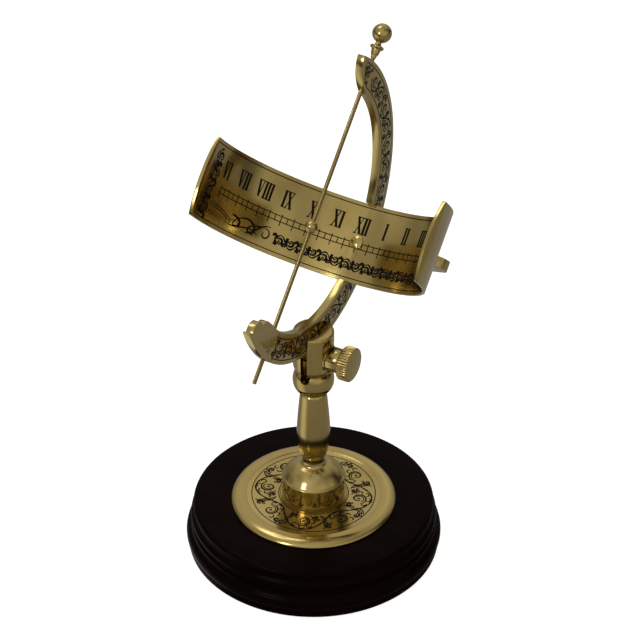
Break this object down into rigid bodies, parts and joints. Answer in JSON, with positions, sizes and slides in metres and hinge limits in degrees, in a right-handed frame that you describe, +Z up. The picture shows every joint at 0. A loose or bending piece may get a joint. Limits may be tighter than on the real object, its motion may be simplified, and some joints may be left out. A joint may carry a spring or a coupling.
{
  "type": "equatorial sundial",
  "caption": "Desk sundial: a gnomon rod and a curved hour band on a meridian bow that tilts in a slotted, screw-clamped yoke above a turned column and a round moulded base.",
  "frame": {"origin": "centre of the felt's underside, on the column's axis", "axes": "+Z up; the meridian plane is X = 0 with XII of the hour band towards +Y and the clamp's knob on +X"},
  "size_m": [0.15, 0.1718, 0.3087],
  "materials": {
    "brass": "polished and lacquered",
    "brass_dark": "polished",
    "mahogany": "gloss varnish",
    "steel": "plain",
    "felt": "matt felt"
  },
  "bodies": {
    "stand": {"felt_pad": "felt", "wooden_base": "mahogany", "base_plate": "brass", "plate_dowels": "steel", "column_foot": "brass", "column_stem": "brass", "tie_stud": "steel", "stud_washer": "steel", "stud_nut": "steel", "yoke": "brass", "clamp_collar": "brass_dark"},
    "dial": {"meridian_bow": "brass", "cross_arm": "brass", "hour_band": "brass", "noon_screw": "brass_dark", "gnomon_rod": "brass", "rod_pin": "brass_dark", "finial_ferrule": "brass", "finial": "brass"},
    "clamp": {"clamp_shank": "brass_dark", "clamp_knob": "brass"},
    "bead": {"nodus_bead": "brass"}
  },
  "joints": [
    {"name": "dial_tilt", "type": "hinge", "parent": "stand", "child": "dial", "pos_m": [0, 0.0053, 0.2304], "axis": [1, 0, 0], "range_deg": [-18, 30]},
    {"name": "clamp_turn", "type": "hinge", "parent": "stand", "child": "clamp", "pos_m": [0, 0, 0.1357], "axis": [1, 0, 0], "range_deg": [0, 180]},
    {"name": "bead_slide", "type": "slide", "parent": "dial", "child": "bead", "axis": [0, 0.7266, 0.6871], "range_m": [-0.025, 0.04]}
  ]
}
